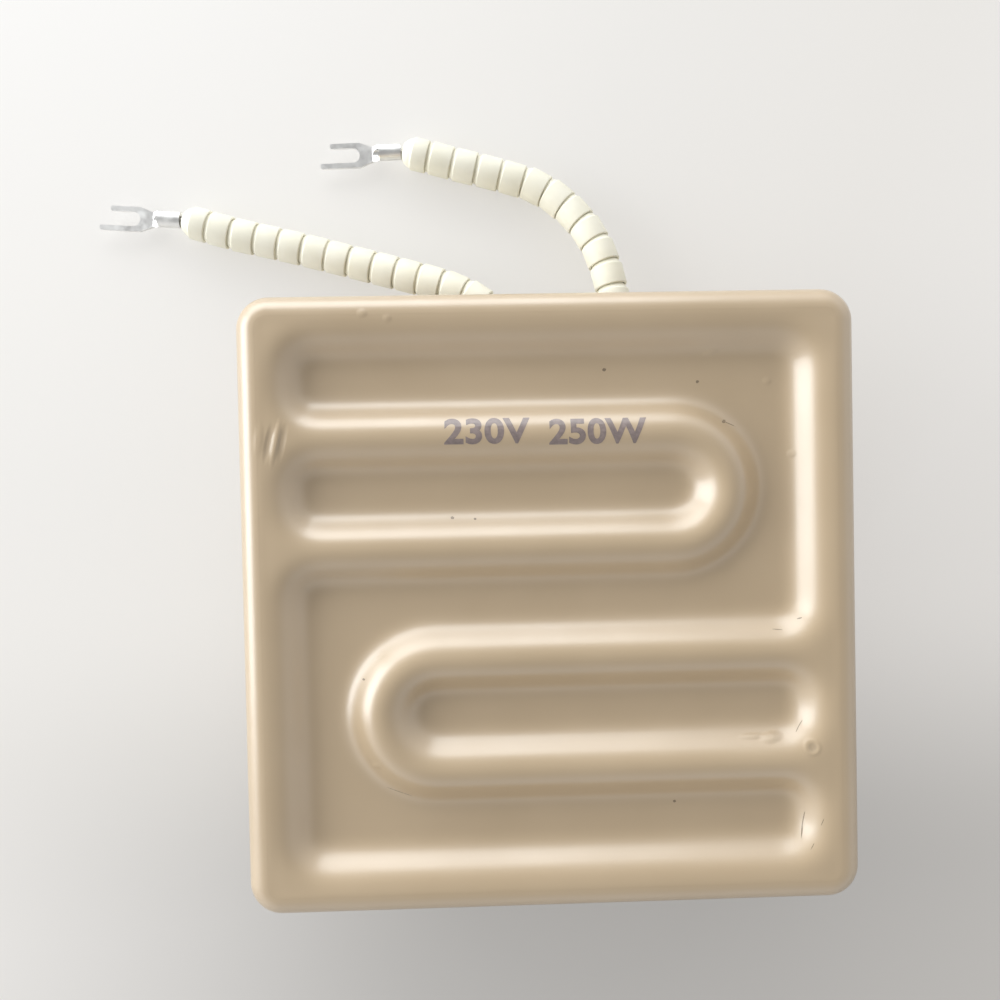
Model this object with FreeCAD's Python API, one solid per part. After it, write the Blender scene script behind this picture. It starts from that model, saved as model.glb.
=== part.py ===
# Square ceramic infrared heater, 122 x 122 mm, with two beaded leads and fork terminals.
# The radiating face looks up (+Z), the end face of the fixing boss lies on z = 0,
# the body is centred on the Z axis and both leads leave the boss towards +Y. Millimetres.
import FreeCAD, Part
import math
import os

V = FreeCAD.Vector
X_AXIS = V(1, 0, 0)
Z_AXIS = V(0, 0, 1)

# Body
body_side = 122.0
plate_depth = 15.0
body_corner_radius = 6.5
wall_taper = 1.0
rim_land = 5.0
rim_outer_fillet = 4.2
back_edge_fillet = 2.0

# Raised rim and ribs of the radiating face
rim_width = 11.3
relief_depth = 5.0
rib_base_width = 11.5
edge_valley_extra = 0.45
flank_run = 2.2
crest_fillet = 4.8
floor_fillet = 1.8
valley_corner_share = 0.33
rib_tip_gap_right = 8.2
rib_tip_gap_left = 9.7

# Fixing boss on the back
boss_length = 44.0
boss_width = 24.0
boss_height = 18.0
boss_corner_radius = 4.0
boss_root_fillet = 2.5
boss_edge_fillet = 1.2
clip_groove_width = 4.0
clip_groove_depth = 2.5
clip_groove_height = 9.0

# Heating coil, cast in under the rim and the ribs
coil_diameter = 2.4
coil_cover = 3.4
coil_bend_radius = 4.0
tail_diameter = 1.0
tail_bend_radius = 1.2
tail_rise_y = -9.0
tail_rise_z = 20.0
cast_clearance = 0.1

# Leads
lead_spacing = 14.0
lead_height = 12.0
lead_start = -4.0
wire_diameter = 1.6
wire_hole_diameter = 2.8
ferrule_diameter = 3.0
ferrule_length = 7.0
crimp_clearance = 0.1

# Ceramic beads on the leads
bead_diameter = 7.2
bead_bore = 3.1
bead_pitch = 5.3
bead_gap = 0.8
bead_nose_length = 2.2
bead_shoulder = 0.3
bead_nest_clearance = 0.1
first_bead_gap = 0.8
end_bead_barrel = 3.4

# Fork terminals
barrel_diameter = 3.5
barrel_length = 4.8
barrel_gap = 0.4
wire_end_inset = 0.4
neck_length = 1.6
neck_width = 2.6
tongue_thickness = 0.8
tongue_length = 4.4
fork_width = 5.4
fork_slot_width = 3.2
fork_long_prong = 8.8
fork_short_prong = 6.5
prong_end_radius = 0.4

half_side = body_side / 2
crest_z = boss_height + plate_depth
floor_z = crest_z - relief_depth
valley_half = half_side - rim_width
rib_half = rib_base_width / 2
rib_pitch = (valley_half + rib_half - edge_valley_extra) / 2.5
edge_valley_width = valley_half - 1.5 * rib_pitch - rib_half
valley_corner_radius = valley_corner_share * edge_valley_width
rib_centre = rib_pitch
turn_radius = rib_pitch / 2
turn_right_x = valley_half - rib_tip_gap_right - rib_half - turn_radius
turn_left_x = -valley_half + rib_tip_gap_left + rib_half + turn_radius
coil_z = crest_z - coil_cover
coil_rim = half_side - rim_width / 2
tail_x = lead_spacing / 2

# Lead routes, inner end first: the two leads run under the plate, come out behind it and sink to the table
left_route = [
    (-lead_spacing / 2, lead_start, lead_height),
    (-lead_spacing / 2, 14.0, lead_height),
    (0.5, 42.0, 10.8),
    (-8.5, 63.5, 8.6),
    (-37.0, 72.0, 4.3),
    (-55.5, 77.0, 3.8),
    (-68.0, 79.8, 3.8),
    (-76.4, 82.7, 3.8),
    (-82.6, 83.1, 3.8),
]
right_route = [
    (lead_spacing / 2, lead_start, lead_height),
    (lead_spacing / 2, 14.0, lead_height),
    (18.2, 44.0, 10.8),
    (15.9, 73.0, 7.8),
    (4.4, 88.1, 4.3),
    (-9.2, 92.3, 3.8),
    (-18.7, 94.6, 3.8),
    (-27.7, 97.3, 3.8),
    (-33.9, 97.1, 3.8),
]
ROUTE_FILL = 0.45


def rounded_wire(corners, z):
    """Closed wire through (x, y, radius) corners at height z, each corner an arc of its radius."""
    count = len(corners)
    ends = []
    arcs = []
    for i in range(count):
        before = V(*corners[i - 1][:2], z)
        here = V(*corners[i][:2], z)
        after = V(*corners[(i + 1) % count][:2], z)
        to_before = (before - here).normalize()
        to_after = (after - here).normalize()
        half_angle = to_before.getAngle(to_after) / 2
        radius = corners[i][2]
        reach = radius / math.tan(half_angle)
        start = here + to_before * reach
        end = here + to_after * reach
        middle_direction = (to_before + to_after).normalize()
        middle = here + middle_direction * (radius / math.sin(half_angle) - radius)
        arcs.append(Part.Arc(start, middle, end).toShape())
        ends.append((start, end))
    edges = []
    for i in range(count):
        edges.append(arcs[i])
        leave = ends[i][1]
        arrive = ends[(i + 1) % count][0]
        if leave.distanceToPoint(arrive) > 1e-6:
            edges.append(Part.LineSegment(leave, arrive).toShape())
    return Part.Wire(edges)


def square_corners(half, radius):
    """Corners of a centred square."""
    return [(half, half, radius), (-half, half, radius), (-half, -half, radius), (half, -half, radius)]


def block_corners(half_x, half_y, radius):
    """Corners of a centred rectangle."""
    return [
        (half_x, half_y, radius),
        (-half_x, half_y, radius),
        (-half_x, -half_y, radius),
        (half_x, -half_y, radius),
    ]


def valley_corners(grow):
    """Corners of the S-shaped valley between the rim and the two ribs, widened by grow on every side."""
    edge = valley_half + grow
    corner = valley_corner_radius + grow
    turn = turn_radius + rib_half - grow
    upper_top = rib_centre + turn
    upper_foot = rib_centre - turn
    lower_top = -rib_centre + turn
    lower_foot = -rib_centre - turn
    right_tip = turn_right_x + turn
    left_tip = turn_left_x - turn
    return [
        (-edge, edge, corner),
        (-edge, upper_top, corner),
        (right_tip, upper_top, turn),
        (right_tip, upper_foot, turn),
        (-edge, upper_foot, corner),
        (-edge, -edge, corner),
        (edge, -edge, corner),
        (edge, lower_foot, corner),
        (left_tip, lower_foot, turn),
        (left_tip, lower_top, turn),
        (edge, lower_top, corner),
        (edge, edge, corner),
    ]


def pocket_corners(grow, side):
    """Corners of the pocket inside one rib: side +1 for the upper rib, -1 for the lower one."""
    edge = (valley_half + grow) * -side
    corner = valley_corner_radius + grow
    turn = turn_radius - rib_half + grow
    tip = turn_right_x + turn if side > 0 else turn_left_x - turn
    middle = rib_centre * side
    return [
        (edge, middle + turn, min(corner, turn * 0.9)),
        (edge, middle - turn, min(corner, turn * 0.9)),
        (tip, middle - turn, turn),
        (tip, middle + turn, turn),
    ]


def sloped_cutter(corners_for):
    """Cutter with sloping walls from the valley floor to just above the crest."""
    over = 1.0
    slope = flank_run / relief_depth
    foot = rounded_wire(corners_for(0.0), floor_z)
    head = rounded_wire(corners_for(flank_run + over * slope), crest_z + over)
    return Part.makeLoft([foot, head], True, True)


def edges_at_height(shape, z):
    """Edges that lie wholly at height z."""
    return [e for e in shape.Edges if abs(e.BoundBox.ZMin - z) < 1e-4 and abs(e.BoundBox.ZMax - z) < 1e-4]


def within(edges, half):
    """Edges of a list that stay within half of the Z axis, in X and in Y."""
    kept = []
    for e in edges:
        box = e.BoundBox
        reach = max(-box.XMin, box.XMax, -box.YMin, box.YMax)
        if reach < half:
            kept.append(e)
    return kept


def boss_solid():
    """Fixing boss with a groove across each short end for the spring clip."""
    over = 2.0
    groove_radius = clip_groove_width / 2
    outline = rounded_wire(block_corners(boss_length / 2, boss_width / 2, boss_corner_radius), 0)
    boss = Part.Face(outline).extrude(V(0, 0, boss_height + over))
    boss = boss.makeFillet(boss_edge_fillet, edges_at_height(boss, 0))
    for side in (-1, 1):
        centre_x = side * (boss_length / 2 - clip_groove_depth + groove_radius)
        groove = Part.makeCylinder(groove_radius, boss_width * 2, V(centre_x, -boss_width, 0), V(0, 1, 0))
        mouth = Part.makeBox(clip_groove_width * 2, boss_width * 2, clip_groove_width)
        mouth_x = centre_x if side > 0 else centre_x - clip_groove_width * 2
        mouth.translate(V(mouth_x, -boss_width, -groove_radius))
        cutter = groove.fuse(mouth)
        cutter.translate(V(0, 0, clip_groove_height))
        boss = boss.cut(cutter)
    return boss


def plate_solid():
    """Square plate: a full-width land at the rim, then walls that draw in a little towards the back."""
    back_corners = square_corners(half_side - wall_taper, body_corner_radius - wall_taper)
    back = rounded_wire(back_corners, boss_height)
    front = rounded_wire(square_corners(half_side, body_corner_radius), crest_z - rim_land)
    land = Part.Face(front).extrude(V(0, 0, rim_land))
    plate = Part.makeLoft([back, front], True, True).fuse(land)
    plate = plate.makeFillet(back_edge_fillet, edges_at_height(plate, boss_height))
    return plate.makeFillet(rim_outer_fillet, edges_at_height(plate, crest_z))


def bent_wire(points, radii):
    """Straight runs through the points, joined by tangent arcs of the given radii."""
    edges = []
    start = points[0]
    for before, here, after, bend in zip(points, points[1:], points[2:], radii):
        back = (before - here).normalize()
        ahead = (after - here).normalize()
        half_turn = (math.pi - back.getAngle(ahead)) / 2
        reach = bend * math.tan(half_turn)
        enter = here + back * reach
        leave = here + ahead * reach
        inward = (back + ahead).normalize()
        middle = here + inward * (bend / math.cos(half_turn) - bend)
        if start.distanceToPoint(enter) > 1e-6:
            edges.append(Part.LineSegment(start, enter).toShape())
        edges.append(Part.Arc(enter, middle, leave).toShape())
        start = leave
    edges.append(Part.LineSegment(start, points[-1]).toShape())
    return Part.Wire(edges)


def route_radii(points):
    """Bend radius at each inner point of a cord's route, as large as the shorter run beside it allows."""
    radii = []
    for before, here, after in zip(points, points[1:], points[2:]):
        back = before - here
        ahead = after - here
        half_turn = (math.pi - back.getAngle(ahead)) / 2
        radii.append(ROUTE_FILL * min(back.Length, ahead.Length) / math.tan(half_turn))
    return radii


def tube_along(wire, diameter):
    """Round solid swept along a wire."""
    first = wire.OrderedEdges[0]
    start = wire.OrderedVertexes[0].Point
    heading = first.tangentAt(first.FirstParameter)
    ring = Part.Wire([Part.makeCircle(diameter / 2, start, heading)])
    return wire.makePipeShell([ring], True, False)


def coil_path():
    """Line of the heating coil: one loop through the rim and both ribs, open over the boss."""
    rim = coil_rim
    end_x = tail_x - coil_diameter / 2
    right_tip = turn_right_x + turn_radius
    left_tip = turn_left_x - turn_radius
    inner = rib_centre - turn_radius
    outer = rib_centre + turn_radius
    bend = coil_bend_radius
    turn = turn_radius
    corners = [
        (end_x, -inner, 0),
        (rim, -inner, bend),
        (rim, rim, bend),
        (-rim, rim, bend),
        (-rim, outer, bend),
        (right_tip, outer, turn),
        (right_tip, inner, turn),
        (-rim, inner, bend),
        (-rim, -rim, bend),
        (rim, -rim, bend),
        (rim, -outer, bend),
        (left_tip, -outer, turn),
        (left_tip, -inner, turn),
        (-end_x, -inner, 0),
    ]
    points = [V(x, y, coil_z) for x, y, radius in corners]
    return bent_wire(points, [radius for x, y, radius in corners[1:-1]])


def tail_path(side):
    """Line of one straight coil end, from inside its ferrule up to the coil."""
    coil_y = turn_radius - rib_centre
    points = [
        V(side * tail_x, lead_start, lead_height),
        V(side * tail_x, tail_rise_y, lead_height),
        V(side * tail_x, coil_y, tail_rise_z),
        V(side * tail_x, coil_y, coil_z),
    ]
    return bent_wire(points, [tail_bend_radius, tail_bend_radius])


def coil_solid(clearance=0.0):
    """Envelope of the coiled resistance wire with its two straight ends."""
    coil = tube_along(coil_path(), coil_diameter + 2 * clearance)
    for side in (-1, 1):
        coil = coil.fuse(tube_along(tail_path(side), tail_diameter + 2 * clearance))
    return coil


def ferrule_solid(side):
    """Crimped sleeve: the lead wire enters from +Y, the end of the coil from -Y."""
    foot = V(side * tail_x, lead_start - ferrule_length / 2, lead_height)
    along = V(0, 1, 0)
    seat = V(side * tail_x, lead_start, lead_height)
    sleeve = Part.makeCylinder(ferrule_diameter / 2, ferrule_length, foot, along)
    wire_bore = Part.makeCylinder((wire_diameter + crimp_clearance) / 2, ferrule_length, seat, along)
    tail_bore = Part.makeCylinder((tail_diameter + crimp_clearance) / 2, ferrule_length, foot, along)
    return sleeve.cut(wire_bore).cut(tail_bore)


def lead_bores(side):
    """Space in the boss for one lead wire and its ferrule."""
    along = V(0, 1, 0)
    seat = V(side * tail_x, lead_start, lead_height)
    foot = V(side * tail_x, lead_start - ferrule_length / 2 - cast_clearance, lead_height)
    hole = Part.makeCylinder(wire_hole_diameter / 2, boss_width, seat, along)
    pocket_length = ferrule_length + 2 * cast_clearance
    pocket = Part.makeCylinder(ferrule_diameter / 2 + cast_clearance, pocket_length, foot, along)
    return hole.fuse(pocket)


def body_solid():
    """The ceramic casting: plate, rim and ribs in front, boss behind, spaces for what is cast in."""
    body = plate_solid().fuse(boss_solid())
    junction = within(edges_at_height(body, boss_height), boss_length / 2 + 1)
    body = body.makeFillet(boss_root_fillet, junction)
    for corners_for in (
        valley_corners,
        lambda grow: pocket_corners(grow, 1),
        lambda grow: pocket_corners(grow, -1),
    ):
        body = body.cut(sloped_cutter(corners_for))
    crest = within(edges_at_height(body, crest_z), half_side - rim_outer_fillet)
    body = body.makeFillet(crest_fillet, crest)
    body = body.makeFillet(floor_fillet, edges_at_height(body, floor_z))
    body = body.cut(coil_solid(cast_clearance))
    for side in (-1, 1):
        body = body.cut(lead_bores(side))
    return body.removeSplitter()


def nose_inset():
    """Distance of the round nose's centre behind the front end of the bead's barrel."""
    shoulder = bead_diameter / 2 - bead_shoulder
    bore = bead_bore / 2
    return (shoulder ** 2 - bore ** 2 - bead_nose_length ** 2) / (2 * bead_nose_length)


def bead_solid(barrel):
    """One bead along +X from its hollow end: a straight barrel, then a round nose for the next hollow."""
    outer = bead_diameter / 2
    bore = bead_bore / 2
    shoulder = outer - bead_shoulder
    centre = barrel - nose_inset()
    nose_radius = math.hypot(nose_inset(), shoulder)
    nose_tip = barrel + bead_nose_length
    middle_angle = (math.atan2(shoulder, nose_inset()) + math.atan2(bore, nose_tip - centre)) / 2
    middle = V(centre + nose_radius * math.cos(middle_angle), nose_radius * math.sin(middle_angle), 0)
    seat_radius = nose_radius + bead_nest_clearance
    seat_x = seat_radius * math.cos(middle_angle) - nose_inset() - bead_gap
    seat_r = seat_radius * math.sin(middle_angle)
    mouth = V(0, seat_r + seat_x / math.tan(middle_angle), 0)
    throat = V(seat_x + (seat_r - bore) * math.tan(middle_angle), bore, 0)
    corners = [mouth, V(0, outer, 0), V(barrel - bead_shoulder, outer, 0), V(barrel, shoulder, 0)]
    edges = [Part.LineSegment(a, b).toShape() for a, b in zip(corners, corners[1:])]
    edges.append(Part.Arc(corners[-1], middle, V(nose_tip, bore, 0)).toShape())
    edges.append(Part.LineSegment(V(nose_tip, bore, 0), throat).toShape())
    edges.append(Part.LineSegment(throat, mouth).toShape())
    return Part.Face(Part.Wire(edges)).revolve(V(0, 0, 0), X_AXIS, 360)


def facing(origin, heading):
    """Placement with local X along the heading and local Z as far up as it can be."""
    turn = FreeCAD.Rotation(heading, V(0, 0, 0), Z_AXIS, "XZY")
    return FreeCAD.Placement(origin, turn)


def point_along(wire, distance):
    """Point at a distance from the wire's start."""
    for edge in wire.OrderedEdges:
        if distance <= edge.Length:
            return edge.valueAt(edge.getParameterByLength(distance))
        distance -= edge.Length
    last = wire.OrderedEdges[-1]
    return last.valueAt(last.LastParameter)


def bead_string(wire):
    """Beads in a row on the wire, from the boss to the terminal, each swivelling on the nose before it."""
    reach = nose_inset() + bead_gap
    first = boss_width / 2 - lead_start + first_bead_gap - reach
    nose_end = wire.Length + wire_end_inset - barrel_length - barrel_gap
    last = nose_end - bead_nose_length - end_bead_barrel - reach
    count = int((last - first) / bead_pitch)
    step = (last - first) / count
    beads = []
    for i in range(count + 1):
        barrel = bead_pitch - bead_gap if i < count else end_bead_barrel
        here = point_along(wire, first + i * step)
        ahead = point_along(wire, first + i * step + barrel + bead_gap)
        heading = (ahead - here).normalize()
        bead = bead_solid(barrel)
        bead.Placement = facing(here + heading * reach, heading)
        beads.append(bead)
    return beads


def terminal_solid():
    """Fork terminal along +X: a round barrel that opens out into a flat fork with one longer prong."""
    outer = barrel_diameter / 2
    reach = barrel_length + neck_length
    barrel = Part.makeCylinder(outer, reach, V(0, 0, 0), X_AXIS)
    bore = Part.makeCylinder((wire_diameter + 2 * crimp_clearance) / 2, reach, V(0, 0, 0), X_AXIS)
    scoop = Part.Face(Part.makePolygon([
        V(barrel_length, -outer, outer + 1),
        V(barrel_length, -outer, outer * 0.2),
        V(reach, -outer, tongue_thickness - outer),
        V(reach + 1, -outer, outer + 1),
        V(barrel_length, -outer, outer + 1),
    ])).extrude(V(0, barrel_diameter, 0))
    root = barrel_length + tongue_length
    wide = fork_width / 2
    slot = fork_slot_width / 2
    narrow = neck_width / 2
    tip = prong_end_radius
    outline = rounded_wire([
        (barrel_length - neck_length, -narrow, tip),
        (barrel_length + neck_length / 2, -narrow, tip),
        (root, -wide, tip),
        (root + fork_short_prong, -wide, tip),
        (root + fork_short_prong, -slot, tip),
        (root, -slot, slot),
        (root, slot, slot),
        (root + fork_long_prong, slot, tip),
        (root + fork_long_prong, wide, tip),
        (root, wide, tip),
        (barrel_length + neck_length / 2, narrow, tip),
        (barrel_length - neck_length, narrow, tip),
    ], -outer)
    tongue = Part.Face(outline).extrude(V(0, 0, tongue_thickness))
    return barrel.fuse(tongue).cut(bore).cut(scoop)


def terminal_on(wire):
    """Fork terminal crimped on the free end of a wire."""
    last = wire.OrderedEdges[-1]
    heading = last.tangentAt(last.LastParameter)
    end = last.valueAt(last.LastParameter)
    terminal = terminal_solid()
    terminal.Placement = facing(end - heading * (barrel_length - wire_end_inset), heading)
    return terminal


def export(name, shape):
    shape.exportStep(os.path.join("parts", name + ".step"))
    print(name, "solids", len(shape.Solids), "volume", round(shape.Volume, 1), "valid", shape.isValid())


os.makedirs("parts", exist_ok=True)
export("ceramic_body", body_solid())
export("heating_coil", coil_solid())
for name, side, route in (("left", -1, left_route), ("right", 1, right_route)):
    points = [V(*point) for point in route]
    radii = route_radii(points)
    wire = bent_wire(points, radii)
    lead = tube_along(wire, wire_diameter)
    print(name, "bend radii", [round(r, 1) for r in radii], "length", round(wire.Length, 1))
    print(name, "section times length", round(math.pi * wire_diameter ** 2 / 4 * wire.Length, 1))
    export(name + "_ferrule", ferrule_solid(side))
    export(name + "_lead_wire", lead)
    for i, bead in enumerate(bead_string(wire)):
        export(name + "_bead_%02d" % (i + 1), bead)
    export(name + "_fork_terminal", terminal_on(wire))
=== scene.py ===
import math
import random

import bmesh
import bpy
from mathutils import Euler, Matrix, Vector
from mathutils.bvhtree import BVHTree


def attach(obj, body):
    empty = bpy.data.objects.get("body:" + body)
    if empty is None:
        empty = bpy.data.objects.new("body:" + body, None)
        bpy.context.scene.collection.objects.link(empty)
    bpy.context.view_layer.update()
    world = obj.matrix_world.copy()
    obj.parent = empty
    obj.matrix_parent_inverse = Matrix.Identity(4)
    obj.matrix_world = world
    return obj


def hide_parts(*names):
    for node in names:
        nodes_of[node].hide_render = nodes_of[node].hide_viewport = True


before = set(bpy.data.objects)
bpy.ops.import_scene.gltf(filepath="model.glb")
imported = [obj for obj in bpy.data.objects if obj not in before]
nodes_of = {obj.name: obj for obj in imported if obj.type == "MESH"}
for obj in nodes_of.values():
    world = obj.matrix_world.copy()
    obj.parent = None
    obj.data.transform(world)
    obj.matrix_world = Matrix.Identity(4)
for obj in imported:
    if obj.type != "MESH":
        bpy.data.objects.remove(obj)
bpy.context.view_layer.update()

MM = 0.001
random.seed(11)

# Places taken from the construction, in millimetres
LEAD_SPACING = 14.0
LEAD_START = -4.0
LEAD_HEIGHT = 12.0
BOSS_WIDTH = 24.0
WIRE_DIAMETER = 1.6
WIRE_END_INSET = 0.4
BARREL_LENGTH = 4.8
BARREL_GAP = 0.4
BEAD_DIAMETER = 7.2
BEAD_BORE = 3.1
BEAD_GAP = 0.8
BEAD_NOSE = 2.2
BEAD_SHOULDER = 0.3
FIRST_BEAD_GAP = 0.8
END_BEAD_BARREL = 3.4

# Hollow end of a fired bead: its rounded rim, and the mouth's inset, chamfer (depth, fall) and throat
BEAD_RIM = 0.22
MOUTH_INSET = 0.15
MOUTH_CHAMFER = (0.25, 0.15)
THROAT_DEPTH = 1.9
# Beads are uneven: most that one is shifted along the wire, and the share that its width keeps
BEAD_SHIFT = 0.1
BEAD_SCALE = (0.985, 1.0)

# Face of the body: its height, its depth and the outline where the outer rounding begins
FACE_HEIGHT = 33.0
FACE_DEPTH = 5.0
FACE_HALF = 56.8
FACE_CORNER = 2.3
OUTLINE_SLACK = 0.01
FLOOR_SLACK = 0.1
# The dipped glaze fills the hollows and thins on the edges: how far it evens out the relief
GLAZE_REACH = 1.7
FACE_STEP = 0.7
# The evening starts this far inside the outline and is whole this much further in
EVEN_FROM = 0.3
EVEN_OVER = 1.7
# Past the outline the face runs on a little way, just under the shell
FACE_MARGIN = 1.9
FACE_TUCK = 0.02

# Lead routes, inner end first, the same points as the construction
LEFT_ROUTE = [
    (-LEAD_SPACING / 2, LEAD_START, LEAD_HEIGHT),
    (-LEAD_SPACING / 2, 14.0, LEAD_HEIGHT),
    (0.5, 42.0, 10.8),
    (-8.5, 63.5, 8.6),
    (-37.0, 72.0, 4.3),
    (-55.5, 77.0, 3.8),
    (-68.0, 79.8, 3.8),
    (-76.4, 82.7, 3.8),
    (-82.6, 83.1, 3.8),
]
RIGHT_ROUTE = [
    (LEAD_SPACING / 2, LEAD_START, LEAD_HEIGHT),
    (LEAD_SPACING / 2, 14.0, LEAD_HEIGHT),
    (18.2, 44.0, 10.8),
    (15.9, 73.0, 7.8),
    (4.4, 88.1, 4.3),
    (-9.2, 92.3, 3.8),
    (-18.7, 94.6, 3.8),
    (-27.7, 97.3, 3.8),
    (-33.9, 97.1, 3.8),
]

# Camera: nearly overhead, a little left of and above the middle of the plate
CAMERA_PLACE = Vector((-15.7, 25.1, 227.7)) * MM
CAMERA_LOOK = Vector((0.0294, -0.0244, -0.9993))
CAMERA_UP = Vector((0.0211, 0.9995, -0.0238))
CAMERA_LENS = 36.0
CAMERA_SENSOR = 36.0
CAMERA_NEAR = 0.01

# Windows: places and sizes in metres, power in watts
FAR_WINDOW_PLACE = (-0.30, 0.86, 0.34)
FAR_WINDOW_SIZE = (1.1, 0.62)
FAR_WINDOW_POWER = 5.3
SIDE_WINDOW_PLACE = (-0.90, 0.16, 0.34)
SIDE_WINDOW_SIZE = (0.8, 0.60)
SIDE_WINDOW_POWER = 5.9
WINDOW_AIM = (0.0, 0.0, 0.03)
DAYLIGHT = (0.95, 0.98, 1.0)

# Room: the side it is brighter on, its strength away from and towards that side, and the share of it
# that is left overhead
ROOM_COLOUR = (1.0, 0.99, 0.975)
BRIGHT_SIDE = (-0.55, 0.65, 0.0)
SIDE_SPAN = (-0.7, 1.0)
ROOM_STRENGTH = (0.80, 1.42)
OVERHEAD_SPAN = (0.25, 0.95)
OVERHEAD_SHARE = 0.30

# Table, in metres: its tones outwards from its brightest corner, a painted falloff of the windows' light,
# and a dimmer stretch at the near right, a painted shadow of the plate
TABLE_HALF = 2.0
PAINTED_LIGHT_CORNER = (-0.118, 0.180, 0.0)
PAINTED_LIGHT_REACH = 0.36
PAINTED_FALLOFF_TONES = [
    (0.0, (0.95, 0.945, 0.935)),
    (0.30, (0.90, 0.885, 0.86)),
    (0.43, (0.87, 0.855, 0.83)),
    (0.60, (0.86, 0.84, 0.81)),
    (0.72, (0.88, 0.86, 0.835)),
    (1.0, (0.79, 0.765, 0.735)),
]
PAINTED_SHADOW_FROM_Y = (0.000, -0.070)
PAINTED_SHADOW_FROM_X = (-0.190, -0.020)
PAINTED_SHADOW_MIDDLE = (0.010, -0.060, 0.0)
PAINTED_SHADOW_REACH = (0.03, 0.20)
PAINTED_SHADOW_OUTER = 0.5
PAINTED_SHADOW_SHARE = 0.62
# Share of the table that the camera sees as its plain colour, whatever light falls on it: a painted glow
# that lightens its real shadows
PAINTED_GLOW_SHARE = 0.5

# Glaze colours, the painted shade that darkens sunken marks, and how deep a mark is when it is darkened by
# that painted shade's full share
GLAZE_DARK = (0.512, 0.386, 0.240)
GLAZE_LIGHT = (0.548, 0.417, 0.265)
SUNKEN_SHADE_COLOUR = (0.20, 0.15, 0.10)
SUNKEN_SHADE_DEPTH = -0.12
SUNKEN_SHADE_SHARE = 0.25

# Span that most of a noise lies in, and the top of it for fired colours
NOISE_LOW = 0.3
NOISE_HIGH = 0.7
PATCH_HIGH = 0.72

# Raised and sunken marks in the glaze: (x, y, half length, half width, turn in degrees, height),
# in millimetres
GLAZE_MARKS = [
    # Run of glaze near the left rim: a thin ridge between shallow grooves, and a broad lip
    (-53.2, 32.3, 5.6, 0.9, 78, 0.24),
    (-54.6, 32.2, 4.6, 0.9, 78, -0.16),
    (-51.9, 32.4, 4.6, 0.9, 78, -0.16),
    (-56.4, 33.0, 4.0, 1.2, 84, 0.12),
    # Bumps under the glaze
    (-35.9, 57.0, 1.3, 1.1, 0, 0.12),
    (-31.1, 56.0, 1.1, 1.0, 0, 0.10),
    (33.0, 48.9, 2.0, 0.8, 20, 0.10),
    (44.3, 43.0, 1.2, 1.0, 0, 0.10),
    (48.8, 28.3, 1.1, 1.0, 0, 0.10),
    (-35.4, -31.9, 1.2, 1.0, 0, 0.10),
    # Lump of glaze near the lower right corner, with the ridge that leads to it
    (43.5, -28.3, 2.8, 1.3, 8, 0.30),
    (39.6, -28.1, 3.2, 0.7, 2, 0.16),
    # Pinhole with a raised ring
    (51.0, -30.0, 2.1, 2.1, 0, 0.24),
    (51.0, -30.0, 1.5, 1.5, 0, -0.42),
]
# Height of the marks' middle, how far above and below it they reach, and their level inner share
MARK_TOP = 31.0
MARK_DEPTH = 20.0
MARK_LEVEL = 0.15

# Dark specks and scratches in the glaze: (x, y, half length, half width, turn in degrees),
# in millimetres
GLAZE_STAINS = [
    (11.5, 45.8, 0.42, 0.34, 0),
    (30.2, 43.1, 0.36, 0.28, 0),
    (35.1, 35.0, 0.45, 0.32, 30),
    (-19.4, 16.9, 0.34, 0.28, 0),
    (-14.9, 16.6, 0.28, 0.22, 0),
    (-37.6, -14.7, 0.30, 0.22, 0),
    (24.2, -41.4, 0.32, 0.26, 0),
    (-31.0, -37.7, 3.0, 0.05, -20),
    (36.3, 34.5, 1.4, 0.08, -22),
    (49.2, -26.3, 1.5, 0.06, 58),
    (49.5, -4.6, 0.5, 0.12, 20),
    (44.9, -6.7, 1.0, 0.06, -4),
    (49.8, -46.2, 2.6, 0.06, 80),
    (51.0, -50.1, 0.8, 0.06, 60),
    (53.0, -45.2, 0.8, 0.06, 70),
]
STAIN_UNEVEN = (0.8, 1.15)

# Rating printed on the second rib: (words, left end, right end, y of the middle), in millimetres
PRINT_WORDS = [("230V", -20.6, -3.8, 33.85), ("250W", -0.1, 19.1, 33.45)]
PRINT_HEIGHT = 5.1
PRINT_CUT = 0.4
PRINT_WEIGHT = 0.032
PRINT_SPACING = 1.04
# Print and stains lie this far above the face
DRAPE_LIFT = 0.03


def new_object(name, data):
    """Adds an object to the scene."""
    thing = bpy.data.objects.new(name, data)
    bpy.context.scene.collection.objects.link(thing)
    return thing


def shade_smooth(mesh):
    """Marks every face of a mesh as smooth."""
    for face in mesh.polygons:
        face.use_smooth = True


# Materials

def new_material(name):
    """Empty node material with its Principled shader and the shader's tree."""
    material = bpy.data.materials.new(name)
    material.use_nodes = True
    tree = material.node_tree
    shader = tree.nodes["Principled BSDF"]
    return material, tree, shader


def object_coordinates(tree):
    """Object-space coordinates, in metres."""
    return tree.nodes.new("ShaderNodeTexCoord").outputs["Object"]


def noise(tree, coordinates, scale, detail=2.0, roughness=0.5):
    """Noise texture over the given coordinates: its grey output."""
    node = tree.nodes.new("ShaderNodeTexNoise")
    node.inputs["Scale"].default_value = scale
    node.inputs["Detail"].default_value = detail
    node.inputs["Roughness"].default_value = roughness
    tree.links.new(coordinates, node.inputs["Vector"])
    return node.outputs["Fac"]


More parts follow.
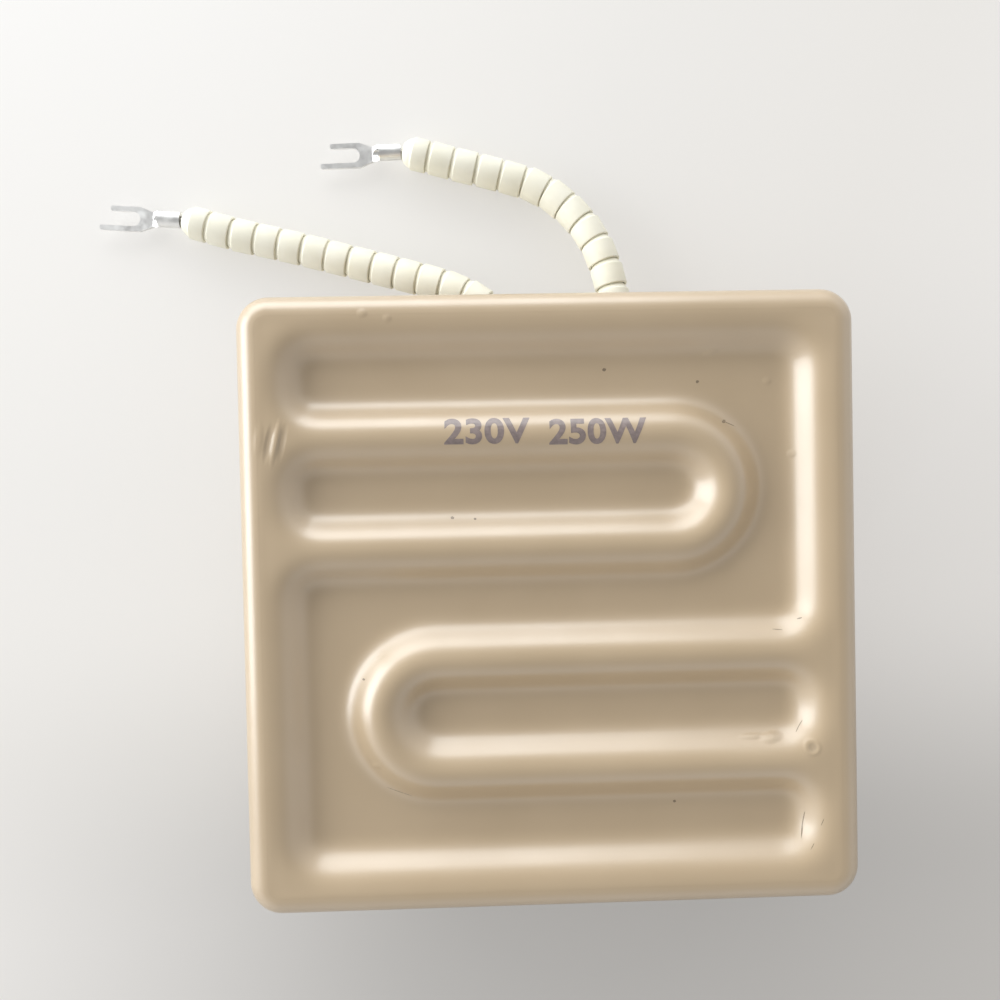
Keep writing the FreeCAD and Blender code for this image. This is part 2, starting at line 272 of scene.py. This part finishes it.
def ramp(tree, value, stops):
    """Colour ramp over a value: stops are (position, colour), from low to high."""
    node = tree.nodes.new("ShaderNodeValToRGB")
    elements = node.color_ramp.elements
    for k, (position, colour) in enumerate((stops[0], stops[-1])):
        elements[k].position = position
        elements[k].color = (*colour, 1.0)
    for position, colour in stops[1:-1]:
        elements.new(position).color = (*colour, 1.0)
    tree.links.new(value, node.inputs["Fac"])
    return node.outputs["Color"]


def tinted(tree, value, dark, light):
    """Colour between a dark and a light one, over the span of a noise."""
    return ramp(tree, value, [(NOISE_LOW, dark), (NOISE_HIGH, light)])


def set_roughness(tree, shader, value, low, high):
    """Roughness between a low and a high one, over the span of a noise."""
    grey = tinted(tree, value, (low, low, low), (high, high, high))
    tree.links.new(grey, shader.inputs["Roughness"])


def mixed(tree, share, base, other):
    """Colour that goes from a base to another, plain colour by a share."""
    node = tree.nodes.new("ShaderNodeMix")
    node.data_type = "RGBA"
    share_in, base_in, other_in = node.inputs[0], node.inputs[6], node.inputs[7]
    colour_out = node.outputs[2]
    tree.links.new(share, share_in)
    tree.links.new(base, base_in)
    other_in.default_value = (*other, 1.0)
    return colour_out


def bump(tree, height, distance, strength, below=None):
    """Bump from a height value, on top of another bump if one is given."""
    node = tree.nodes.new("ShaderNodeBump")
    node.inputs["Distance"].default_value = distance
    node.inputs["Strength"].default_value = strength
    tree.links.new(height, node.inputs["Height"])
    if below is not None:
        tree.links.new(below, node.inputs["Normal"])
    return node.outputs["Normal"]


def math_node(tree, operation, first, second=0.0):
    """Math node over values or sockets."""
    node = tree.nodes.new("ShaderNodeMath")
    node.operation = operation
    for socket, value in zip(node.inputs, (first, second)):
        if isinstance(value, (int, float)):
            socket.default_value = value
        else:
            tree.links.new(value, socket)
    return node.outputs[0]


def map_range(tree, value, span, result, smooth=False):
    """Value mapped from one span to another and held at its ends."""
    node = tree.nodes.new("ShaderNodeMapRange")
    node.interpolation_type = "SMOOTHSTEP" if smooth else "LINEAR"
    node.inputs["From Min"].default_value = span[0]
    node.inputs["From Max"].default_value = span[1]
    node.inputs["To Min"].default_value = result[0]
    node.inputs["To Max"].default_value = result[1]
    tree.links.new(value, node.inputs["Value"])
    return node.outputs["Result"]


def distance_to(tree, coordinates, place):
    """Distance from a place, in metres."""
    node = tree.nodes.new("ShaderNodeVectorMath")
    node.operation = "DISTANCE"
    node.inputs[1].default_value = place
    tree.links.new(coordinates, node.inputs[0])
    return node.outputs["Value"]


def glaze_marks(tree, coordinates):
    """Height of all the marks on the glazed face, in millimetres."""
    height = 0.0
    for x, y, half_length, half_width, turn, rise in GLAZE_MARKS:
        spot = tree.nodes.new("ShaderNodeMapping")
        spot.vector_type = "TEXTURE"
        spot.inputs["Location"].default_value = Vector((x, y, MARK_TOP)) * MM
        spot.inputs["Rotation"].default_value = (0.0, 0.0, math.radians(turn))
        spot.inputs["Scale"].default_value = Vector((half_length, half_width, MARK_DEPTH)) * MM
        tree.links.new(coordinates, spot.inputs["Vector"])
        reach = tree.nodes.new("ShaderNodeVectorMath")
        reach.operation = "LENGTH"
        tree.links.new(spot.outputs["Vector"], reach.inputs[0])
        hump = map_range(tree, reach.outputs["Value"], (MARK_LEVEL, 1.0), (rise, 0.0), True)
        height = math_node(tree, "ADD", hump, height)
    return height


def glaze_material():
    """Warm cream glaze: cloudy, soft gloss, waves of a dipped surface, and its raised and sunken marks,
    the sunken ones darkened by painted shade.
    """
    material, tree, shader = new_material("cream_glaze")
    place = object_coordinates(tree)
    height = glaze_marks(tree, place)
    clean = tinted(tree, noise(tree, place, 38.0, 3.0, 0.55), GLAZE_DARK, GLAZE_LIGHT)
    # Painted shade: the colour darkens towards a dark brown where a mark sinks below the face
    sunken = map_range(tree, height, (0.0, SUNKEN_SHADE_DEPTH), (0.0, SUNKEN_SHADE_SHARE))
    colour = mixed(tree, sunken, clean, SUNKEN_SHADE_COLOUR)
    tree.links.new(colour, shader.inputs["Base Color"])
    set_roughness(tree, shader, noise(tree, place, 90.0, 2.0), 0.34, 0.42)
    waves = bump(tree, noise(tree, place, 60.0, 1.0), 0.00025, 0.5)
    peel = bump(tree, noise(tree, place, 900.0, 2.0), 0.00002, 0.35, waves)
    marked = bump(tree, height, MM, 1.0, peel)
    tree.links.new(marked, shader.inputs["Normal"])
    shader.inputs["IOR"].default_value = 1.6
    shader.inputs["Specular IOR Level"].default_value = 0.8
    shader.inputs["Coat Weight"].default_value = 1.0
    shader.inputs["Coat Roughness"].default_value = 0.28
    shader.inputs["Coat IOR"].default_value = 1.7
    return material


def bead_material():
    """Off-white fired steatite: matt, a little chalky, with a faint grain."""
    material, tree, shader = new_material("bead_steatite")
    place = object_coordinates(tree)
    cloud = noise(tree, place, 160.0, 3.0)
    colour = tinted(tree, cloud, (0.87, 0.845, 0.705), (0.92, 0.90, 0.78))
    tree.links.new(colour, shader.inputs["Base Color"])
    grain = noise(tree, place, 2600.0, 2.0)
    set_roughness(tree, shader, grain, 0.48, 0.62)
    tree.links.new(bump(tree, grain, 0.00003, 0.4), shader.inputs["Normal"])
    return material


def metal_material(name, dark, light, rough, scale):
    """Plain metal with faint drawn marks."""
    material, tree, shader = new_material(name)
    place = object_coordinates(tree)
    marks = noise(tree, place, scale, 3.0, 0.6)
    tree.links.new(tinted(tree, marks, dark, light), shader.inputs["Base Color"])
    span = 0.08
    set_roughness(tree, shader, marks, rough - span, rough + span)
    tree.links.new(bump(tree, marks, 0.00003, 0.3), shader.inputs["Normal"])
    shader.inputs["Metallic"].default_value = 1.0
    return material


def fired_colour_material(name, dark, light):
    """Patchy dark colour fired into the glaze, about as glossy as the glaze."""
    material, tree, shader = new_material(name)
    patches = noise(tree, object_coordinates(tree), 900.0, 3.0, 0.6)
    colour = ramp(tree, patches, [(NOISE_LOW, dark), (PATCH_HIGH, light)])
    tree.links.new(colour, shader.inputs["Base Color"])
    set_roughness(tree, shader, patches, 0.32, 0.42)
    tree.links.new(bump(tree, patches, 0.00002, 0.3), shader.inputs["Normal"])
    shader.inputs["IOR"].default_value = 1.6
    shader.inputs["Coat Weight"].default_value = 0.8
    shader.inputs["Coat Roughness"].default_value = 0.26
    return material


# Glazed body, with the print and stains on its face

def lettering(words, left, right, middle):
    """Bold plain letters as a flat mesh filling a width and height, in metres."""
    data = bpy.data.curves.new("letters", "FONT")
    data.body = words
    data.size = 1.0
    data.offset = PRINT_WEIGHT
    data.space_character = PRINT_SPACING
    data.fill_mode = "FRONT"
    thing = new_object("letters", data)
    bpy.context.view_layer.update()
    flat = bpy.data.meshes.new_from_object(thing)
    bpy.data.objects.remove(thing)
    mesh = bmesh.new()
    mesh.from_mesh(flat)
    bpy.data.meshes.remove(flat)
    low = [min(v.co[k] for v in mesh.verts) for k in (0, 1)]
    high = [max(v.co[k] for v in mesh.verts) for k in (0, 1)]
    wide = (right - left) / (high[0] - low[0])
    tall = PRINT_HEIGHT / (high[1] - low[1])
    for v in mesh.verts:
        x = left + (v.co.x - low[0]) * wide
        y = middle + (v.co.y - (low[1] + high[1]) / 2) * tall
        v.co = Vector((x, y, 0.0)) * MM
    return mesh


def inside_face(x, y):
    """Distance of a place from the face's rounded outline, in millimetres, positive inside."""
    straight = FACE_HALF - FACE_CORNER
    over_x = max(abs(x) - straight, 0.0)
    over_y = max(abs(y) - straight, 0.0)
    if over_x > 0 or over_y > 0:
        return FACE_CORNER - math.hypot(over_x, over_y)
    return FACE_HALF - max(abs(x), abs(y))


def surface_of(mesh):
    """A mesh's surface, for laying thin things on it."""
    corners = [v.co for v in mesh.vertices]
    return BVHTree.FromPolygons(corners, [tuple(f.vertices) for f in mesh.polygons])


def height_at(surface, x, y):
    """Height of a surface at a place, seen from above, in millimetres."""
    above = 4 * FACE_HEIGHT
    hit = surface.ray_cast(Vector((x, y, above)) * MM, Vector((0, 0, -1)))[0]
    return hit.z / MM


def softened(rows):
    """Grid of heights evened out along both directions."""
    reach = int(3 * GLAZE_REACH / FACE_STEP)
    shares = [math.exp(-0.5 * (k * FACE_STEP / GLAZE_REACH) ** 2) for k in range(-reach, reach + 1)]
    total = sum(shares)
    for _ in range(2):
        evened = []
        for row in rows:
            padded = [row[0]] * reach + row + [row[-1]] * reach
            evened.append([
                sum(share * padded[i + k] for k, share in enumerate(shares)) / total
                for i in range(len(row))
            ])
        rows = [list(column) for column in zip(*evened)]
    return rows


def make_face(material):
    """The body's relief under its thick glaze; returns its surface."""
    surface = surface_of(nodes_of["ceramic_body"].data)
    edge = FACE_HALF + FACE_MARGIN
    count = int(2 * edge / FACE_STEP) + 1
    places = [-edge + 2 * edge * k / (count - 1) for k in range(count)]
    sharp = [[height_at(surface, x, y) for y in places] for x in places]
    even = softened(sharp)
    mesh = bmesh.new()
    grid = []
    for x, sharp_row, even_row in zip(places, sharp, even):
        row = []
        for y, before, after in zip(places, sharp_row, even_row):
            inside = inside_face(x, y)
            share = min(max((inside - EVEN_FROM) / EVEN_OVER, 0.0), 1.0)
            share = share * share * (3 - 2 * share)
            tucked = FACE_TUCK if inside < 0 else 0.0
            height = before + (after - before) * share - tucked
            row.append(mesh.verts.new(Vector((x, y, height)) * MM))
        grid.append(row)
    for near, far in zip(grid, grid[1:]):
        for k in range(count - 1):
            mesh.faces.new((near[k], far[k], far[k + 1], near[k + 1]))
    data = bpy.data.meshes.new("glazed_face")
    mesh.to_mesh(data)
    mesh.free()
    shade_smooth(data)
    data.materials.append(material)
    face = new_object("glazed_face", data)
    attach(face, "root")
    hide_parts("ceramic_body")
    return surface_of(data)


def make_shell(material):
    """The rest of the body: its sides, back and boss, without the relief."""
    data = nodes_of["ceramic_body"].data.copy()
    data.name = "glazed_shell"
    mesh = bmesh.new()
    mesh.from_mesh(data)
    relief = []
    floor = FACE_HEIGHT - FACE_DEPTH - FLOOR_SLACK
    for face in mesh.faces:
        within = all(inside_face(v.co.x / MM, v.co.y / MM) > -OUTLINE_SLACK for v in face.verts)
        if within and face.calc_center_median().z / MM > floor:
            relief.append(face)
    bmesh.ops.delete(mesh, geom=relief, context="FACES")
    mesh.to_mesh(data)
    mesh.free()
    data.materials.clear()
    data.materials.append(material)
    shell = new_object("glazed_shell", data)
    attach(shell, "root")
    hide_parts("ceramic_body")


def drape(mesh, name, surface, material):
    """Lays a flat mesh down on the face and keeps it there as a piece of the body."""
    above = 0.1
    for v in mesh.verts:
        hit, facing, _, _ = surface.ray_cast(Vector((v.co.x, v.co.y, above)), Vector((0, 0, -1)))
        v.co = hit + facing * DRAPE_LIFT * MM
    data = bpy.data.meshes.new(name)
    mesh.to_mesh(data)
    mesh.free()
    shade_smooth(data)
    data.materials.append(material)
    piece = new_object(name, data)
    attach(piece, "root")


def make_print(surface, material):
    """The rating, cut into narrow strips so that it follows the rib."""
    for k, (words, left, right, middle) in enumerate(PRINT_WORDS):
        mesh = lettering(words, left, right, middle)
        low = middle - PRINT_HEIGHT / 2
        for axis, start, length in ((0, left, right - left), (1, low, PRINT_HEIGHT)):
            normal = [0.0, 0.0, 0.0]
            normal[axis] = 1.0
            for step in range(1, int(length / PRINT_CUT) + 1):
                spot = [0.0, 0.0, 0.0]
                spot[axis] = (start + step * PRINT_CUT) * MM
                parts = mesh.verts[:] + mesh.edges[:] + mesh.faces[:]
                bmesh.ops.bisect_plane(mesh, geom=parts, plane_co=spot, plane_no=normal)
        bmesh.ops.triangulate(mesh, faces=mesh.faces)
        drape(mesh, "rating_print_%d" % (k + 1), surface, material)


def make_stains(surface, material):
    """Dark specks and scratches: small uneven spots on the face."""
    steps = 14
    mesh = bmesh.new()
    for x, y, half_length, half_width, turn in GLAZE_STAINS:
        middle = mesh.verts.new(Vector((x, y, 0.0)) * MM)
        rim = []
        for k in range(steps):
            angle = 2 * math.pi * k / steps
            uneven = random.uniform(*STAIN_UNEVEN)
            along = half_length * math.cos(angle)
            across = half_width * math.sin(angle)
            corner = Vector((along, across, 0.0)) * uneven
            corner.rotate(Euler((0.0, 0.0, math.radians(turn))))
            rim.append(mesh.verts.new((corner + Vector((x, y, 0.0))) * MM))
        for k in range(steps):
            mesh.faces.new((middle, rim[k], rim[(k + 1) % steps]))
    drape(mesh, "glaze_stains", surface, material)


# Beaded leads

def route_curve(name, route, diameter):
    """Smooth NURBS curve with the route's points as its control points, and its line, in metres."""
    data = bpy.data.curves.new(name, "CURVE")
    data.dimensions = "3D"
    data.resolution_u = 24
    spline = data.splines.new("NURBS")
    spline.points.add(len(route) - 1)
    for point, place in zip(spline.points, route):
        point.co = (*(Vector(place) * MM), 1.0)
    spline.order_u = 3
    spline.use_endpoint_u = True
    thing = new_object(name, data)
    bpy.context.view_layer.update()
    bare = bpy.data.meshes.new_from_object(thing)
    line = [vertex.co.copy() for vertex in bare.vertices]
    bpy.data.meshes.remove(bare)
    data.bevel_depth = diameter * MM / 2
    data.bevel_resolution = 6
    return thing, line


def line_length(line):
    """Length of a line of points."""
    return sum((b - a).length for a, b in zip(line, line[1:]))


def point_along(line, distance):
    """Point at a distance from the start of a line of points."""
    for a, b in zip(line, line[1:]):
        run = (b - a).length
        if distance <= run:
            return a.lerp(b, distance / run)
        distance -= run
    return line[-1].copy()


def arc_points(centre, radius, start, end, steps):
    """(x, r) points of an arc in the bead's section, angles in degrees."""
    points = []
    for k in range(steps + 1):
        angle = math.radians(start + (end - start) * k / steps)
        points.append((centre[0] + radius * math.cos(angle), centre[1] + radius * math.sin(angle)))
    return points


def nose_inset():
    """Distance of the round nose's centre behind the front end of a bead's barrel."""
    shoulder = BEAD_DIAMETER / 2 - BEAD_SHOULDER
    bore = BEAD_BORE / 2
    return (shoulder ** 2 - bore ** 2 - BEAD_NOSE ** 2) / (2 * BEAD_NOSE)


def bead_section(barrel):
    """Closed section of one bead in (x, r), in millimetres: hollow end at 0, round nose ahead."""
    outer = BEAD_DIAMETER / 2
    bore = BEAD_BORE / 2
    shoulder = outer - BEAD_SHOULDER
    centre = barrel - nose_inset()
    radius = math.hypot(nose_inset(), shoulder)
    nose_start = math.degrees(math.atan2(shoulder, nose_inset()))
    nose_end = math.degrees(math.atan2(bore, barrel + BEAD_NOSE - centre))
    mouth = shoulder - MOUTH_INSET
    chamfer, fall = MOUTH_CHAMFER
    points = arc_points((BEAD_RIM, outer - BEAD_RIM), BEAD_RIM, 180, 90, 4)
    points += arc_points((barrel - BEAD_SHOULDER, shoulder), BEAD_SHOULDER, 90, 15, 4)
    points += arc_points((centre, 0.0), radius, nose_start, nose_end, 8)
    points += [(THROAT_DEPTH, bore), (chamfer, mouth - fall), (0.0, mouth)]
    return points


def bead_mesh(name, barrel, place, heading, roll, scale):
    """One bead: its section turned round the heading, with the hollow end at a place."""
    steps = 40
    turn = heading.to_track_quat("X", "Z").to_matrix().to_4x4()
    matrix = Matrix.Translation(place) @ turn @ Matrix.Rotation(roll, 4, "X")
    mesh = bmesh.new()
    rings = []
    for x, r in bead_section(barrel):
        ring = []
        for k in range(steps):
            angle = 2 * math.pi * k / steps
            spot = Vector((x, r * math.cos(angle) * scale, r * math.sin(angle) * scale)) * MM
            ring.append(mesh.verts.new(matrix @ spot))
        rings.append(ring)
    for i, near in enumerate(rings):
        far = rings[(i + 1) % len(rings)]
        for k in range(steps):
            after = (k + 1) % steps
            mesh.faces.new((near[k], near[after], far[after], far[k]))
    bmesh.ops.recalc_face_normals(mesh, faces=mesh.faces)
    data = bpy.data.meshes.new(name)
    mesh.to_mesh(data)
    mesh.free()
    shade_smooth(data)
    return data


def bead_string(side, line, material):
    """The beads of one lead along the wire's line, each in the place of its construction node."""
    names = sorted(name for name in nodes_of if name.startswith(side + "_bead_"))
    reach = nose_inset() + BEAD_GAP
    first = BOSS_WIDTH / 2 - LEAD_START + FIRST_BEAD_GAP - reach
    nose_tip = line_length(line) / MM + WIRE_END_INSET - BARREL_LENGTH - BARREL_GAP
    last = nose_tip - BEAD_NOSE - END_BEAD_BARREL - reach
    step = (last - first) / (len(names) - 1)
    beads = []
    for i, name in enumerate(names):
        barrel = END_BEAD_BARREL if name == names[-1] else step - BEAD_GAP
        here = point_along(line, (first + i * step) * MM)
        ahead = point_along(line, (first + i * step + barrel + BEAD_GAP) * MM)
        heading = (ahead - here).normalized()
        place = here + heading * (reach + random.uniform(-BEAD_SHIFT, BEAD_SHIFT)) * MM
        roll = random.uniform(0, 2 * math.pi)
        scale = random.uniform(*BEAD_SCALE)
        data = bead_mesh(name + "_fired", barrel, place, heading, roll, scale)
        data.materials.append(material)
        bead = new_object(name + "_fired", data)
        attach(bead, "root")
        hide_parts(name)
        beads.append(bead)
    return beads


def make_lead(side, route, wire_material, string_material):
    """One lead: the wire along its route, and its beads."""
    wire, line = route_curve(side + "_wire", route, WIRE_DIAMETER)
    wire.data.materials.append(wire_material)
    beads = bead_string(side, line, string_material)
    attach(wire, "root")
    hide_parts(side + "_lead_wire")


def assign(node_name, material):
    """Gives a construction node another material."""
    node = nodes_of[node_name]
    node.data.materials.clear()
    node.data.materials.append(material)


# Stage

def floor_material():
    """Pale table with painted light: nearly white at the far left and darker away from it (painted falloff
    of the windows' light), dimmer at the near right (painted shadow of the plate), and partly a painted
    glow for the camera.
    """
    material, tree, shader = new_material("pale_table_painted_light")
    place = object_coordinates(tree)
    split = tree.nodes.new("ShaderNodeSeparateXYZ")
    tree.links.new(place, split.inputs[0])
    # Painted light: the colour falls off with distance from the corner nearest the windows
    far = map_range(tree, distance_to(tree, place, PAINTED_LIGHT_CORNER), (0.0, PAINTED_LIGHT_REACH), (0.0, 1.0))
    # Painted shadow of the plate: a dimmer stretch at the near right, strongest close to the plate
    near = map_range(tree, split.outputs["Y"], PAINTED_SHADOW_FROM_Y, (0.0, 1.0), True)
    right = map_range(tree, split.outputs["X"], PAINTED_SHADOW_FROM_X, (0.0, 1.0), True)
    close = map_range(tree, distance_to(tree, place, PAINTED_SHADOW_MIDDLE), PAINTED_SHADOW_REACH, (1.0, PAINTED_SHADOW_OUTER))
    zone = math_node(tree, "MULTIPLY", math_node(tree, "MULTIPLY", near, right), close)
    painted_shadow = map_range(tree, zone, (0.0, 1.0), (1.0, PAINTED_SHADOW_SHARE))
    shade = ramp(tree, far, PAINTED_FALLOFF_TONES)
    colour = tree.nodes.new("ShaderNodeVectorMath")
    colour.operation = "SCALE"
    tree.links.new(shade, colour.inputs[0])
    tree.links.new(painted_shadow, colour.inputs["Scale"])
    tree.links.new(colour.outputs["Vector"], shader.inputs["Base Color"])
    grain = noise(tree, place, 300.0, 2.0)
    tree.links.new(bump(tree, grain, 0.0001, 0.05), shader.inputs["Normal"])
    shader.inputs["Roughness"].default_value = 0.55
    # Painted glow: camera rays see the table partly as emission of its colour, which lightens its real
    # shadows
    glow = tree.nodes.new("ShaderNodeEmission")
    tree.links.new(colour.outputs["Vector"], glow.inputs["Color"])
    camera_ray = tree.nodes.new("ShaderNodeLightPath").outputs["Is Camera Ray"]
    seen = math_node(tree, "MULTIPLY", camera_ray, PAINTED_GLOW_SHARE)
    both = tree.nodes.new("ShaderNodeMixShader")
    tree.links.new(seen, both.inputs[0])
    tree.links.new(shader.outputs[0], both.inputs[1])
    tree.links.new(glow.outputs[0], both.inputs[2])
    tree.links.new(both.outputs[0], tree.nodes["Material Output"].inputs["Surface"])
    return material


def make_floor():
    """Large flat table under the boss."""
    mesh = bmesh.new()
    bmesh.ops.create_grid(mesh, x_segments=2, y_segments=2, size=TABLE_HALF)
    data = bpy.data.meshes.new("table_top")
    mesh.to_mesh(data)
    mesh.free()
    table = new_object("table_top", data)
    table.data.materials.append(floor_material())


def add_window(name, place, size, power):
    """Soft rectangular light that faces the plate."""
    data = bpy.data.lights.new(name, "AREA")
    data.shape = "RECTANGLE"
    data.size = size[0]
    data.size_y = size[1]
    data.energy = power
    data.color = DAYLIGHT
    lamp = new_object(name, data)
    lamp.location = place
    facing = Vector(WINDOW_AIM) - Vector(place)
    lamp.rotation_euler = facing.to_track_quat("-Z", "Y").to_euler()


def make_lights():
    """Two wide low windows, far and left, in a room brighter on their side and darker overhead."""
    add_window("far_window", FAR_WINDOW_PLACE, FAR_WINDOW_SIZE, FAR_WINDOW_POWER)
    add_window("side_window", SIDE_WINDOW_PLACE, SIDE_WINDOW_SIZE, SIDE_WINDOW_POWER)
    world = bpy.data.worlds.new("room")
    world.use_nodes = True
    tree = world.node_tree
    background = tree.nodes["Background"]
    facing = tree.nodes.new("ShaderNodeVectorMath")
    facing.operation = "DOT_PRODUCT"
    facing.inputs[1].default_value = Vector(BRIGHT_SIDE).normalized()
    direction = tree.nodes.new("ShaderNodeTexCoord").outputs["Generated"]
    tree.links.new(direction, facing.inputs[0])
    level = map_range(tree, facing.outputs["Value"], SIDE_SPAN, ROOM_STRENGTH)
    split = tree.nodes.new("ShaderNodeSeparateXYZ")
    tree.links.new(direction, split.inputs[0])
    above = map_range(tree, split.outputs["Z"], OVERHEAD_SPAN, (1.0, OVERHEAD_SHARE), True)
    tree.links.new(math_node(tree, "MULTIPLY", level, above), background.inputs["Strength"])
    background.inputs["Color"].default_value = (*ROOM_COLOUR, 1.0)
    bpy.context.scene.world = world


def make_camera():
    """The photograph's viewpoint."""
    data = bpy.data.cameras.new("camera")
    data.sensor_width = CAMERA_SENSOR
    data.lens = CAMERA_LENS
    data.clip_start = CAMERA_NEAR
    camera = new_object("camera", data)
    look = CAMERA_LOOK.normalized()
    right = look.cross(CAMERA_UP).normalized()
    up = right.cross(look)
    turn = Matrix((right, up, -look)).transposed()
    camera.matrix_world = Matrix.Translation(CAMERA_PLACE) @ turn.to_4x4()
    bpy.context.scene.camera = camera


glaze = glaze_material()
steatite = bead_material()
nickel = metal_material("nickel_strand", (0.42, 0.40, 0.36), (0.55, 0.53, 0.49), 0.38, 900.0)
tin = metal_material("bright_tin", (0.84, 0.84, 0.83), (0.93, 0.93, 0.92), 0.42, 500.0)
coil_metal = metal_material("resistance_wire", (0.20, 0.19, 0.18), (0.30, 0.29, 0.27), 0.45, 900.0)
sleeve_metal = metal_material("crimp_sleeve", (0.50, 0.50, 0.48), (0.62, 0.62, 0.60), 0.35, 700.0)

make_shell(glaze)
face = make_face(glaze)
assign("heating_coil", coil_metal)
for side, route in (("left", LEFT_ROUTE), ("right", RIGHT_ROUTE)):
    assign(side + "_ferrule", sleeve_metal)
    assign(side + "_fork_terminal", tin)
    make_lead(side, route, nickel, steatite)

ink = fired_colour_material("fired_ink", (0.190, 0.150, 0.145), (0.300, 0.240, 0.225))
stain = fired_colour_material("glaze_stain", (0.200, 0.148, 0.098), (0.310, 0.235, 0.155))
make_print(face, ink)
make_stains(face, stain)
make_floor()
make_lights()
make_camera()
bpy.context.scene.view_settings.view_transform = "Standard"
